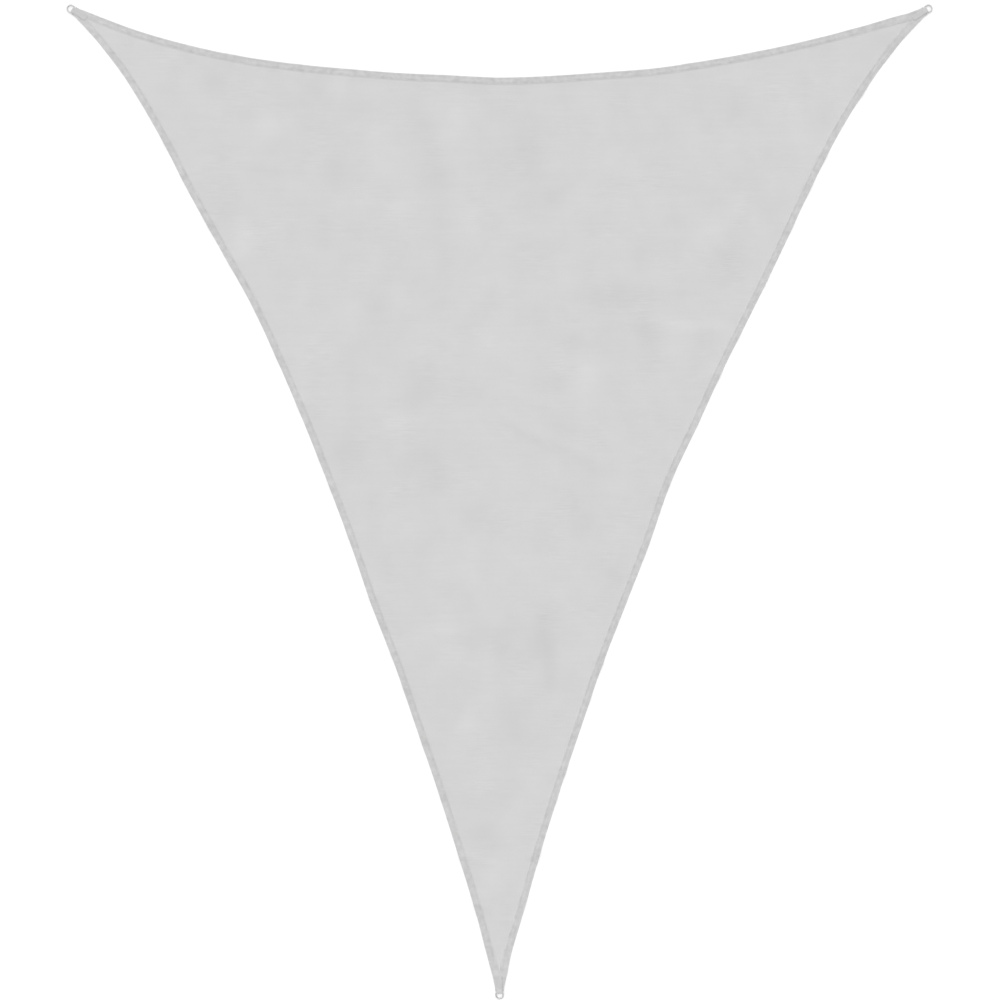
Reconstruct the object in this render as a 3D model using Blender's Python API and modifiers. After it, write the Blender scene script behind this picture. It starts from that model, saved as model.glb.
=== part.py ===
"""Shade sail, a triangle of knitted cloth about 4 x 5 x 5 m between its ring centres, laid out flat.

The head edge lies towards +Y and the foot corner towards -Y. The floor is z = 0, and the origin is
under the middle of the sail's box. Units are metres. Each corner has a frame of its own: "inward" runs
from the ring's centre into the cloth, halfway between the two edges that meet there.
"""

import math

import bmesh
import bpy
import numpy as np
from mathutils import Matrix, Vector, noise
from mathutils.geometry import delaunay_2d_cdt, interpolate_bezier

# Spans between ring centres, as sewn.
HEAD_SPAN = 3.992
SIDE_SPAN = 5.006
FOOT_DEPTH = math.sqrt(SIDE_SPAN**2 - (HEAD_SPAN / 2) ** 2)

# Cloth: a single layer, a hem of one turn, and the corner where two hems cross.
CLOTH_THICKNESS = 0.0012
HEM_WIDTH = 0.0335
HEM_STEP = 0.0025
CROSSED_HEM_THICKNESS = 3 * CLOTH_THICKNESS

# Inward sag of each edge from the straight line between its ring centres, metres.
# The share runs from left to right along the head, and from the head to the foot on the sides.
SAG_COLUMNS = ("share", "head", "left", "right")
SAG_ROWS = (
    (0.04, 0.048, 0.056, 0.057),
    (0.08, 0.106, 0.104, 0.106),
    (0.14, 0.173, 0.143, 0.151),
    (0.20, 0.223, 0.163, 0.169),
    (0.26, 0.257, 0.192, 0.177),
    (0.32, 0.280, 0.222, 0.190),
    (0.38, 0.299, 0.229, 0.206),
    (0.44, 0.310, 0.227, 0.212),
    (0.50, 0.321, 0.217, 0.220),
    (0.56, 0.313, 0.201, 0.198),
    (0.62, 0.297, 0.177, 0.186),
    (0.68, 0.278, 0.165, 0.174),
    (0.74, 0.243, 0.141, 0.150),
    (0.80, 0.200, 0.117, 0.124),
    (0.86, 0.148, 0.086, 0.092),
    (0.92, 0.086, 0.052, 0.052),
    (0.96, 0.039, 0.021, 0.027),
)

# The cloth's tongue at each ring: distance inward from the ring's centre, and half the width there.
TONGUE_COLUMNS = ("inward", "half_width")
TONGUE_ROWS = (
    (0.0170, 0.0197),
    (0.0360, 0.0208),
    (0.0600, 0.0262),
    (0.0930, 0.0333),
)

# Puckers that the hem's stitching draws across it: share along the edge, and height.
PUCKER_COLUMNS = ("share", "height")
PUCKER_ROWS = {
    "head": (
        (0.136, 0.0022),
        (0.190, 0.0045),
        (0.235, 0.0024),
        (0.268, 0.0034),
        (0.329, 0.0020),
        (0.438, 0.0016),
        (0.475, 0.0022),
        (0.517, 0.0016),
        (0.605, 0.0018),
        (0.721, 0.0026),
        (0.801, 0.0022),
        (0.865, 0.0018),
        (0.910, 0.0032),
    ),
    "left": (
        (0.149, 0.0038),
        (0.187, 0.0022),
        (0.239, 0.0026),
        (0.278, 0.0024),
        (0.328, 0.0016),
        (0.375, 0.0016),
        (0.424, 0.0028),
        (0.477, 0.0022),
        (0.505, 0.0022),
        (0.554, 0.0022),
        (0.615, 0.0026),
        (0.670, 0.0026),
        (0.704, 0.0022),
        (0.759, 0.0030),
        (0.809, 0.0024),
        (0.870, 0.0034),
        (0.916, 0.0048),
    ),
    "right": (
        (0.098, 0.0044),
        (0.167, 0.0038),
        (0.199, 0.0034),
        (0.238, 0.0022),
        (0.296, 0.0026),
        (0.352, 0.0026),
        (0.392, 0.0034),
        (0.440, 0.0014),
        (0.502, 0.0018),
        (0.567, 0.0014),
        (0.681, 0.0038),
        (0.715, 0.0020),
        (0.786, 0.0034),
        (0.815, 0.0020),
        (0.868, 0.0044),
        (0.912, 0.0024),
    ),
}
PUCKER_HALF_LENGTH = 0.040
PUCKER_FADE = 0.070

# Creases left by folding: start x, start y, end x, end y, height.
CREASE_COLUMNS = ("start_x", "start_y", "end_x", "end_y", "height")
CREASE_ROWS = (
    (-0.08, 0.46, 0.43, 0.19, 0.0030),
    (0.02, 0.50, 0.38, 0.30, 0.0022),
    (-0.52, 0.38, -0.10, 0.30, 0.0018),
    (0.66, 0.82, 1.02, 0.80, 0.0020),
)
CREASE_HALF_WIDTH = 0.045

# Low swells where the cloth doesn't quite touch the floor.
SWELL_HEIGHT = 0.0055
SWELL_PERIOD = 0.42
SWELL_FLOOR = 0.10
SWELL_EDGE_FADE = 0.16

# Mesh spacing of the cloth.
STATION_SPACING = 0.062
TONGUE_STATION_SPACING = 0.020
PANEL_SPACING = 0.105

# D-ring: round wire, a straight bar, two short legs and a half circle.
WIRE_DIAMETER = 0.006
RING_INNER_WIDTH = 0.027
RING_ARC_RADIUS = (RING_INNER_WIDTH + WIRE_DIAMETER) / 2
RING_LEG = 0.0125
RING_CORNER_RADIUS = 0.005
RING_ARC_STEPS = 18
RING_CORNER_STEPS = 3

# Strap: flat webbing, looped round the ring's bar, the cloth between its two legs.
STRAP_WIDTH = 0.025
STRAP_THICKNESS = 0.002
STRAP_REACH = 0.074
STRAP_NECK = 0.017
STRAP_LOOP_STEPS = 12
GAP = 0.0003

# Heights above the floor that follow from the sizes above.
BAR_HEIGHT = STRAP_THICKNESS + GAP + WIRE_DIAMETER / 2
CORNER_UNDERSIDE = STRAP_THICKNESS + GAP
UPPER_LEG_HEIGHT = CORNER_UNDERSIDE + CROSSED_HEM_THICKNESS + GAP + STRAP_THICKNESS / 2
RING_TILT = math.asin((BAR_HEIGHT - WIRE_DIAMETER / 2) / (RING_LEG + RING_ARC_RADIUS))

# Where the cloth comes down to the floor, as distances from a ring's centre.
CORNER_LIFT_END = 0.125
CORNER_LIFT_FADE = 0.210
PUCKER_START = 0.180
PUCKER_FULL = 0.300

# Finishes: base colour, roughness, metallic.
FINISH_COLUMNS = ("colour", "roughness", "metallic")
FINISHES = {
    "knitted_cloth": ((0.66, 0.66, 0.66), 0.90, 0.0),
    "webbing": ((0.60, 0.60, 0.60), 0.85, 0.0),
    "stainless_wire": ((0.62, 0.62, 0.61), 0.25, 1.0),
}

RING_CENTRES = {
    "left": Vector((-HEAD_SPAN / 2, FOOT_DEPTH / 2)),
    "right": Vector((HEAD_SPAN / 2, FOOT_DEPTH / 2)),
    "foot": Vector((0.0, -FOOT_DEPTH / 2)),
}
EDGE_ENDS = {"head": ("left", "right"), "left": ("left", "foot"), "right": ("right", "foot")}
SAIL_CENTRE = sum(RING_CENTRES.values(), Vector((0.0, 0.0))) / len(RING_CENTRES)


def clear_scene():
    """Remove whatever the file opened with."""
    for thing in list(bpy.data.objects):
        bpy.data.objects.remove(thing, do_unlink=True)


def make_finish(name):
    colour, roughness, metallic = FINISHES[name]
    material = bpy.data.materials.new(name)
    material.use_nodes = True
    shader = material.node_tree.nodes["Principled BSDF"]
    shader.inputs["Base Color"].default_value = (*colour, 1.0)
    shader.inputs["Roughness"].default_value = roughness
    shader.inputs["Metallic"].default_value = metallic
    material.diffuse_color = (*colour, 1.0)
    return material


def fade(value, start, end):
    """A smooth step from 1 before start to 0 past end."""
    share = np.clip((value - start) / (end - start), 0.0, 1.0)
    return 1.0 - share * share * (3.0 - 2.0 * share)


def inward_axis(corner):
    """The unit vector from a corner's ring centre into the cloth, halfway between its two edges."""
    centre = RING_CENTRES[corner]
    others = [point for name, point in RING_CENTRES.items() if name != corner]
    return sum(((point - centre).normalized() for point in others), Vector((0.0, 0.0))).normalized()


def tongue_points(corner, towards):
    """One side of a corner's tongue, from its cut end on, on the side of the edge to another corner."""
    centre = RING_CENTRES[corner]
    inward = inward_axis(corner)
    sideways = Vector((-inward.y, inward.x))
    if sideways.dot(RING_CENTRES[towards] - centre) < 0:
        sideways = -sideways
    return [centre + inward * run + sideways * half_width for run, half_width in TONGUE_ROWS]


def edge_knots(edge):
    """The points that an edge's curve runs through, from one tongue's cut end to the other's."""
    first, last = EDGE_ENDS[edge]
    start = RING_CENTRES[first]
    chord = RING_CENTRES[last] - start
    sag_direction = Vector((-chord.y, chord.x)).normalized()
    if sag_direction.dot(SAIL_CENTRE - start) < 0:
        sag_direction = -sag_direction
    column = SAG_COLUMNS.index(edge)
    middle = [start + chord * row[0] + sag_direction * row[column] for row in SAG_ROWS]
    return tongue_points(first, last) + middle + tongue_points(last, first)[::-1]


def edge_curve(edge):
    """An edge's outline: a smooth Bezier chain through its knots, finer along the tongues."""
    knots = edge_knots(edge)
    before = [knots[0]] + knots[:-1]
    after = knots[1:] + [knots[-1]]
    tangents = [(b - a).normalized() for a, b in zip(before, after)]
    points = []
    for start, end, leaving, arriving in zip(knots, knots[1:], tangents, tangents[1:]):
        reach = (end - start).length / 3
        spacing = STATION_SPACING if 3 * reach > STATION_SPACING else TONGUE_STATION_SPACING
        steps = max(1, round(3 * reach / spacing))
        stretch = interpolate_bezier(start, start + leaving * reach, end - arriving * reach, end, steps + 1)
        points.extend(stretch[:-1])
    points.append(knots[-1])
    return np.array([tuple(point.xy) for point in points])


def distance_to_line(points, line):
    """The distance from each point to a line of straight pieces."""
    starts = line[:-1]
    pieces = line[1:] - starts
    offsets = points[:, None, :] - starts[None, :, :]
    shares = (offsets * pieces).sum(axis=2) / (pieces**2).sum(axis=1)
    feet = starts + np.clip(shares, 0.0, 1.0)[:, :, None] * pieces
    return np.linalg.norm(points[:, None, :] - feet, axis=2).min(axis=1)


def inner_line(edge, curves, depth):
    """An edge's outline moved inward by a depth, cut off where it would come nearer another edge."""
    line = curves[edge]
    tangents = np.gradient(line, axis=0)
    normals = np.stack([-tangents[:, 1], tangents[:, 0]], axis=1)
    normals /= np.linalg.norm(normals, axis=1)[:, None]
    middle = len(line) // 2
    if normals[middle].dot(np.array(SAIL_CENTRE) - line[middle]) < 0:
        normals = -normals
    moved = line + normals * depth
    others = np.vstack([distance_to_line(moved, curves[name]) for name in curves if name != edge])
    return moved[others.min(axis=0) > depth + TONGUE_STATION_SPACING / 4]


def meeting_point(corner, curves, depth):
    """The point on a corner's axis whose distance to the corner's two edges comes to a depth."""
    centre = np.array(RING_CENTRES[corner])
    inward = np.array(inward_axis(corner))
    lines = [curves[edge] for edge, ends in EDGE_ENDS.items() if corner in ends]
    low = TONGUE_ROWS[0][0]
    high = HEAD_SPAN / 4
    for _ in range(40):
        middle = (low + high) / 2
        point = (centre + inward * middle)[None, :]
        if sum(distance_to_line(point, line)[0] for line in lines) / len(lines) < depth:
            low = middle
        else:
            high = middle
    return (centre + inward * high)[None, :]


def closed_loop(curves, depth):
    """The whole outline at a depth: head, right side and left side, one way round."""
    if depth == 0.0:
        return np.vstack([curves["head"], curves["right"], curves["left"][::-1]])
    lines = {edge: inner_line(edge, curves, depth) for edge in curves}
    corners = {corner: meeting_point(corner, curves, depth) for corner in RING_CENTRES}
    return np.vstack(
        [
            corners["left"],
            lines["head"],
            corners["right"],
            lines["right"],
            corners["foot"],
            lines["left"][::-1],
        ]
    )


def panel_points(curves):
    """Staggered points over the single layer, clear of the hem."""
    rows = np.arange(-FOOT_DEPTH / 2, FOOT_DEPTH / 2, PANEL_SPACING * math.sqrt(3) / 2)
    columns = np.arange(-HEAD_SPAN / 2, HEAD_SPAN / 2, PANEL_SPACING)
    points = []
    for number, y in enumerate(rows):
        shift = PANEL_SPACING / 2 * (number % 2)
        points.extend((x + shift, y) for x in columns)
    points = np.array(points)
    margin = HEM_WIDTH + HEM_STEP + PANEL_SPACING / 2
    clear = np.min([distance_to_line(points, line) for line in curves.values()], axis=0) > margin
    return points[clear & inside_outline(points, curves)]


def inside_outline(points, curves):
    """Whether each point lies inside the outline, by counting the crossings of a ray along +X."""
    loop = closed_loop(curves, 0.0)
    inside = np.zeros(len(points), dtype=bool)
    for (x0, y0), (x1, y1) in zip(loop, np.roll(loop, -1, axis=0)):
        straddles = (y0 > points[:, 1]) != (y1 > points[:, 1])
        rise = np.where(straddles, (points[:, 1] - y0) / ((y1 - y0) or 1.0), 0.0)
        inside ^= straddles & (points[:, 0] < x0 + rise * (x1 - x0))
    return inside


def pucker_lift(points, edge, distance):
    """How far the puckers of one hem hold the cloth off the floor."""
    first, last = EDGE_ENDS[edge]
    start = np.array(RING_CENTRES[first])
    chord = np.array(RING_CENTRES[last]) - start
    length = np.linalg.norm(chord)
    along = (points - start).dot(chord / length)
    lift = np.zeros(len(points))
    for share, height in PUCKER_ROWS[edge]:
        lift += height * np.exp(-(((along - share * length) / PUCKER_HALF_LENGTH) ** 2))
    return lift * fade(distance, HEM_WIDTH, HEM_WIDTH + PUCKER_FADE)


def crease_lift(points):
    """How far the soft creases hold the cloth off the floor."""
    lift = np.zeros(len(points))
    for start_x, start_y, end_x, end_y, height in CREASE_ROWS:
        line = np.array([(start_x, start_y), (end_x, end_y)])
        lift += height * np.exp(-((distance_to_line(points, line) / CREASE_HALF_WIDTH) ** 2))
    return lift


def swell_lift(points):
    """How far the low swells hold the cloth off the floor, zero over much of it."""
    waves = np.array([noise.noise(Vector((x, y, 0.0)) / SWELL_PERIOD) for x, y in points])
    return SWELL_HEIGHT * np.maximum(waves - SWELL_FLOOR, 0.0)


def cloth_heights(points, curves):
    """The underside's height and the thickness of the cloth at each point."""
    distances = {edge: distance_to_line(points, curves[edge]) for edge in curves}
    from_edge = np.min(list(distances.values()), axis=0)
    from_ring = np.min([np.linalg.norm(points - np.array(c), axis=1) for c in RING_CENTRES.values()], axis=0)
    layers = 1.0 + sum(fade(d, HEM_WIDTH + HEM_STEP / 10, HEM_WIDTH + HEM_STEP) for d in distances.values())
    corner_lift = CORNER_UNDERSIDE * fade(from_ring, CORNER_LIFT_END, CORNER_LIFT_FADE)
    puckers = np.max([pucker_lift(points, edge, distances[edge]) for edge in curves], axis=0)
    loose = swell_lift(points) * (1.0 - fade(from_edge, HEM_WIDTH, SWELL_EDGE_FADE)) + crease_lift(points)
    free = 1.0 - fade(from_ring, PUCKER_START, PUCKER_FULL)
    underside = np.maximum(corner_lift, (puckers + loose) * free)
    return underside, CLOTH_THICKNESS * layers


def build_cloth(collection, finish):
    """The sail cloth: a flat sheet split along its hem lines, given its thickness and low relief."""
    curves = {edge: edge_curve(edge) for edge in EDGE_ENDS}
    coordinates = []
    borders = []
    for depth in (0.0, HEM_WIDTH, HEM_WIDTH + HEM_STEP):
        loop = closed_loop(curves, depth)
        first = len(coordinates)
        coordinates.extend(Vector(point) for point in loop)
        borders.extend((first + i, first + (i + 1) % len(loop)) for i in range(len(loop)))
    coordinates.extend(Vector(point) for point in panel_points(curves))
    flat = delaunay_2d_cdt(coordinates, borders, [], 1, 1e-6)
    sheet = bmesh.new()
    corners = [sheet.verts.new((point.x, point.y, 0.0)) for point in flat[0]]
    for face in flat[2]:
        sheet.faces.new([corners[index] for index in face])
    underside, thickness = cloth_heights(np.array([tuple(c.co.xy) for c in corners]), curves)
    bmesh.ops.recalc_face_normals(sheet, faces=sheet.faces)
    upper = bmesh.ops.extrude_face_region(sheet, geom=sheet.faces[:])["geom"]
    upper = [item for item in upper if isinstance(item, bmesh.types.BMVert)]
    heights = {(round(c.co.x, 6), round(c.co.y, 6)): i for i, c in enumerate(corners)}
    for vertex in upper:
        i = heights[round(vertex.co.x, 6), round(vertex.co.y, 6)]
        vertex.co.z = underside[i] + thickness[i]
    for i, vertex in enumerate(corners):
        vertex.co.z = underside[i]
    bmesh.ops.recalc_face_normals(sheet, faces=sheet.faces)
    return add_mesh(sheet, "sail_cloth", collection, finish)


def add_mesh(shape, name, collection, finish):
    """Turn a bmesh into a named object with its material."""
    mesh = bpy.data.meshes.new(name)
    shape.to_mesh(mesh)
    shape.free()
    mesh.materials.append(finish)
    thing = bpy.data.objects.new(name, mesh)
    collection.objects.link(thing)
    return thing


def ring_path():
    """The D-ring's centre line in its own frame: the bar along X through the origin, the arc at +Y."""
    leg_side = RING_ARC_RADIUS
    bar_end = RING_ARC_RADIUS - RING_CORNER_RADIUS
    right_corner = arc_points((bar_end, RING_CORNER_RADIUS), RING_CORNER_RADIUS, -90, 0, RING_CORNER_STEPS)
    bow = arc_points((0.0, RING_LEG), leg_side, 0, 180, RING_ARC_STEPS)
    left_corner = arc_points((-bar_end, RING_CORNER_RADIUS), RING_CORNER_RADIUS, 180, 270, RING_CORNER_STEPS)
    return right_corner + bow + left_corner


def arc_points(centre, radius, start_degrees, end_degrees, steps):
    """Points along an arc, both ends included."""
    angles = np.radians(np.linspace(start_degrees, end_degrees, steps + 1))
    return [(centre[0] + radius * math.cos(a), centre[1] + radius * math.sin(a)) for a in angles]


def build_ring(corner, collection, finish):
    """A D-ring, its bar in the strap's loop and its bow tipped down to rest on the floor."""
    path = bpy.data.curves.new(f"d_ring_{corner}", "CURVE")
    path.dimensions = "3D"
    path.bevel_depth = WIRE_DIAMETER / 2
    path.bevel_resolution = 3
    path.use_fill_caps = True
    points = ring_path()
    spline = path.splines.new("POLY")
    spline.points.add(len(points) - 1)
    for point, (x, y) in zip(spline.points, points):
        point.co = (x, y, 0.0, 1.0)
    spline.use_cyclic_u = True
    path.materials.append(finish)
    ring = bpy.data.objects.new(f"d_ring_{corner}", path)
    collection.objects.link(ring)
    ring.location = (0.0, 0.0, BAR_HEIGHT)
    ring.rotation_euler = (-RING_TILT, 0.0, 0.0)
    return ring


def strap_path():
    """The strap's centre line seen from the side, as (outward, height): lower leg, loop, upper leg."""
    loop_radius = WIRE_DIAMETER / 2 + GAP + STRAP_THICKNESS / 2
    drop = BAR_HEIGHT + loop_radius - UPPER_LEG_HEIGHT
    lean = math.degrees(math.atan2(drop, STRAP_NECK))
    loop = arc_points((0.0, BAR_HEIGHT), loop_radius, -90, 90 + lean, STRAP_LOOP_STEPS)
    lower = [(-STRAP_REACH, STRAP_THICKNESS / 2), (-STRAP_NECK, STRAP_THICKNESS / 2)]
    upper = [(-STRAP_NECK, UPPER_LEG_HEIGHT), (-STRAP_REACH, UPPER_LEG_HEIGHT)]
    return lower + loop + upper


def build_strap(corner, collection, finish):
    """A strap: the side view of its loop, drawn out to the webbing's width and given its thickness."""
    shape = bmesh.new()
    side = [shape.verts.new((-STRAP_WIDTH / 2, y, z)) for y, z in strap_path()]
    run = [shape.edges.new(pair) for pair in zip(side, side[1:])]
    drawn = bmesh.ops.extrude_edge_only(shape, edges=run)["geom"]
    far_side = [item for item in drawn if isinstance(item, bmesh.types.BMVert)]
    bmesh.ops.translate(shape, verts=far_side, vec=(STRAP_WIDTH, 0.0, 0.0))
    bmesh.ops.recalc_face_normals(shape, faces=shape.faces)
    strap = add_mesh(shape, f"corner_strap_{corner}", collection, finish)
    wall = strap.modifiers.new("webbing thickness", "SOLIDIFY")
    wall.thickness = STRAP_THICKNESS
    wall.offset = 0.0
    wall.use_even_offset = True
    return strap


def place_corner(corner, pieces, collection):
    """Stand a corner's pieces on an empty at the ring's bar, facing outward from the cloth."""
    inward = inward_axis(corner)
    bar = RING_CENTRES[corner] + inward * RING_LEG
    place = bpy.data.objects.new(f"corner_{corner}", None)
    place.empty_display_size = 0.05
    place.location = (bar.x, bar.y, 0.0)
    place.rotation_euler = (0.0, 0.0, math.atan2(-inward.y, -inward.x) - math.pi / 2)
    collection.objects.link(place)
    for piece in pieces:
        piece.parent = place


def build_sail():
    clear_scene()
    collection = bpy.data.collections.new("shade_sail")
    bpy.context.scene.collection.children.link(collection)
    finishes = {name: make_finish(name) for name in FINISHES}
    build_cloth(collection, finishes["knitted_cloth"])
    for corner in RING_CENTRES:
        ring = build_ring(corner, collection, finishes["stainless_wire"])
        strap = build_strap(corner, collection, finishes["webbing"])
        place_corner(corner, (ring, strap), collection)


build_sail()
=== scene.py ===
# %% [markdown]
# # Dressing a shade sail
#
# A shade sail is a triangle of knitted cloth with hollow-cut edges, a hem sewn all round, and at each
# corner a ring that a loop of webbing holds. This one is about 4 x 5 x 5 m between its rings, and it lies
# flat on the floor. Its solids come from the packed model: they have the true size and place, and plain
# surfaces. The lesson replaces them, piece by piece, with finer ones that have a hem, stitches, a weave
# and polished wire. Everything stays in the solids' own frame: metres, +Z up, the floor at z = 0.

import math

import bmesh
import bpy
import numpy as np
from mathutils import Matrix, Vector, noise
from mathutils.geometry import delaunay_2d_cdt, interpolate_bezier


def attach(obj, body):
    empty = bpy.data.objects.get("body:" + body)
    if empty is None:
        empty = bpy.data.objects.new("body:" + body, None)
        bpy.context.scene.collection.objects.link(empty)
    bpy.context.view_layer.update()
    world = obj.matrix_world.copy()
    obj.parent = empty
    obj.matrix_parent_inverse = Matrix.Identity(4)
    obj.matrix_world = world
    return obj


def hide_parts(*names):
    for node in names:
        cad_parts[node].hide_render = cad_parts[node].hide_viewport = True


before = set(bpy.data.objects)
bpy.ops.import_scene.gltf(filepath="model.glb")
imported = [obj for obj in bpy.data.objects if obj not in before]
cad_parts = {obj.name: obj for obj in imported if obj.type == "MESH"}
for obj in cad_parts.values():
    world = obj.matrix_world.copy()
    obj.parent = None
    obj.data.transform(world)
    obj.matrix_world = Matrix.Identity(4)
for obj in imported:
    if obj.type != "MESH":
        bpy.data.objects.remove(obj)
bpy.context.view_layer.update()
print("solids:", sorted(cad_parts))

# %% [markdown]
# ## The camera
#
# The sail is seen from straight above, flat on, with no vanishing lines. A lens close to the cloth would
# make the near middle larger than the corners, so the camera stands high with a long lens. Its height
# follows from the width of floor that the square picture takes in: width : height = sensor : lens.

# %% A long lens, high above
VIEW_WIDTH = 4.655
VIEW_CENTRE = (0.0022, 0.0084)
LENS_MM = 100.0
SENSOR_MM = 36.0

scene = bpy.context.scene


def add_object(name, data):
    """Put mesh, camera or lamp data in the scene as an object at the origin."""
    thing = bpy.data.objects.new(name, data)
    scene.collection.objects.link(thing)
    return thing


lens = bpy.data.cameras.new("camera_above")
lens.lens = LENS_MM
lens.sensor_width = SENSOR_MM
camera = add_object("camera_above", lens)
camera.location = (*VIEW_CENTRE, VIEW_WIDTH * LENS_MM / SENSOR_MM)
scene.camera = camera
print("camera height:", round(camera.location.z, 2))

# %% [markdown]
# ## Shader sums as plain expressions
#
# The sky, every finish and the sewing are small trees of nodes. Wiring each Math node by hand hides the sum
# that it stands for, so a class wraps a node's output and gives it the arithmetic signs: `1 - gap * 0.2`
# then adds the two Math nodes by itself. Every other node comes from one method, which sets the node's own
# options first, because some of them change which sockets it has, and then its sockets.

# %% Sockets that can be added and multiplied
class Socket:
    """The output of a node. Arithmetic on it adds the Math nodes that do the sum."""

    def __init__(self, nodes, output):
        self.nodes = nodes
        self.output = output

    def maths(self, operation, *values):
        return self.nodes.node("ShaderNodeMath", {"operation": operation}, dict(enumerate(values)))

    def __add__(self, other):
        return self.maths("ADD", self, other)

    def __radd__(self, other):
        return self.maths("ADD", other, self)

    def __sub__(self, other):
        return self.maths("SUBTRACT", self, other)

    def __rsub__(self, other):
        return self.maths("SUBTRACT", other, self)

    def __mul__(self, other):
        return self.maths("MULTIPLY", self, other)

    def __rmul__(self, other):
        return self.maths("MULTIPLY", other, self)

    def __pow__(self, power):
        return self.maths("POWER", self, power)

    def wave(self):
        """A cosine of this value, from 0 to 1."""
        return self.maths("COSINE", self) * 0.5 + 0.5

    def arch(self):
        """The size of the sine of this value: a row of round arches."""
        return self.maths("ABSOLUTE", self.maths("SINE", self))


class Nodes:
    """A tree of nodes, for the sky, for a material or for geometry."""

    def __init__(self, tree):
        self.tree = tree

    def node(self, kind, settings=None, sockets=None, output=0):
        """Add a node: its kind, its options, then its sockets' values or links. Gives an output, if any."""
        added = self.tree.nodes.new(kind)
        for name, value in (settings or {}).items():
            setattr(added, name, value)
        for name, value in (sockets or {}).items():
            self.join(added.inputs[name], value)
        return Socket(self, added.outputs[output]) if added.outputs else None

    def join(self, socket, value):
        """Link an output to a socket, or give the socket a plain value."""
        if isinstance(value, Socket):
            self.tree.links.new(value.output, socket)
        else:
            socket.default_value = value


print("besides sums, a socket has:", [name for name in vars(Socket) if not name.startswith("__")])


# %% Finishes
class Finish(Nodes):
    """A material, and the nodes that vary it over a surface."""

    def __init__(self, name, roughness, metallic=0.0, gloss=0.5):
        self.material = bpy.data.materials.new(name)
        self.material.use_nodes = True
        super().__init__(self.material.node_tree)
        self.shader = self.tree.nodes["Principled BSDF"]
        self.feed("Roughness", roughness)
        self.feed("Metallic", metallic)
        self.feed("Specular IOR Level", gloss)

    def feed(self, name, value):
        self.join(self.shader.inputs[name], value)

    def place(self):
        """Where a point is, in the object's own metres."""
        return self.node("ShaderNodeTexCoord", output="Object")

    def attribute(self, name):
        """A number that the mesh carries at each point."""
        return self.node("ShaderNodeAttribute", {"attribute_name": name}, output="Fac")

    def split(self, vector):
        """The X and Y of a vector."""
        return (self.node("ShaderNodeSeparateXYZ", None, {0: vector}, output) for output in ("X", "Y"))

    def stretched(self, vector, factors):
        """A vector with each of its parts multiplied by its own factor."""
        return self.node("ShaderNodeVectorMath", {"operation": "MULTIPLY"}, {0: vector, 1: factors})

    def cloud(self, vector, scale, detail=2.0):
        """Smooth random patches, from about -0.5 to 0.5."""
        settings = {"Vector": vector, "Scale": scale, "Detail": detail}
        return self.node("ShaderNodeTexNoise", None, settings) - 0.5

    def shade_of(self, tone):
        """A neutral grey of a given tone."""
        return self.mix(tone, (0.0, 0.0, 0.0, 1.0), (1.0, 1.0, 1.0, 1.0))

    def mix(self, factor, first, second):
        """A blend of two colours. The node has its sockets for colours after those for other kinds."""
        sockets = {0: factor, 6: first, 7: second}
        return self.node("ShaderNodeMix", {"data_type": "RGBA", "clamp_factor": False}, sockets, 2)

    def bump(self, height, depth):
        """Turn a height from 0 to 1 into a dent or rise of the surface, depth metres deep."""
        self.feed("Normal", self.node("ShaderNodeBump", None, {"Distance": depth, "Height": height}))


print("a finish has:", [name for name in vars(Finish) if not name.startswith("__")])

# %% [markdown]
# ## Light and floor
#
# Product pictures like this one have a floor that is white everywhere. A big soft sun gives half of the
# light. It stands high and a little to one side, so the low folds get a bright and a dark flank, and the
# thin cloth throws no shadow that shows. The sky gives the rest. The sky is brighter near the horizon, so
# that the floor's far edge melts into it in a low view, and dimmer overhead, so that the sun's share stays
# large.

# %% A white floor under a soft sun
FLOOR_RADIUS = 60.0
FLOOR_SIDES = 96
FLOOR_DROP = 0.0006
FLOOR_TONE = 0.96
SUN_STRENGTH = 1.97
SUN_SPREAD = 80.0
TOWARDS_SUN = Vector((-0.14, 0.30, 0.94))
HORIZON_LIGHT = 1.05
OVERHEAD_LIGHT = 0.42
SKY_TURN = (0.20, 0.60)

scene.view_settings.view_transform = "Standard"
lamp = bpy.data.lights.new("soft_sun", "SUN")
lamp.energy = SUN_STRENGTH
lamp.angle = math.radians(SUN_SPREAD)
sun = add_object("soft_sun", lamp)
sun.rotation_euler = (-TOWARDS_SUN).to_track_quat("-Z", "Y").to_euler()

scene.world = bpy.data.worlds.new("pale_sky")
scene.world.use_nodes = True
sky = Nodes(scene.world.node_tree)
direction = sky.node("ShaderNodeTexCoord", output="Generated")
height = sky.node("ShaderNodeSeparateXYZ", None, {0: direction}, "Z")
turn = {
    "Value": height,
    "From Min": SKY_TURN[0],
    "From Max": SKY_TURN[1],
    "To Min": HORIZON_LIGHT,
    "To Max": OVERHEAD_LIGHT,
}
light = sky.node("ShaderNodeMapRange", {"interpolation_type": "SMOOTHSTEP"}, turn)
background = sky.tree.nodes["Background"]
sky.join(background.inputs["Strength"], light)
sky.join(background.inputs["Color"], (1.0, 1.0, 1.0, 1.0))

disc = bmesh.new()
bmesh.ops.create_circle(disc, cap_ends=True, radius=FLOOR_RADIUS, segments=FLOOR_SIDES)
bmesh.ops.translate(disc, verts=disc.verts, vec=(0.0, 0.0, -FLOOR_DROP))
floor_mesh = bpy.data.meshes.new("studio_floor")
disc.to_mesh(floor_mesh)
disc.free()
floor = add_object("studio_floor", floor_mesh)
paint = Finish("white_floor", roughness=1.0, gloss=0.0)
paint.feed("Base Color", (FLOOR_TONE, FLOOR_TONE, FLOOR_TONE, 1.0))
floor_mesh.materials.append(paint.material)
print("floor tone:", FLOOR_TONE)

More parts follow.
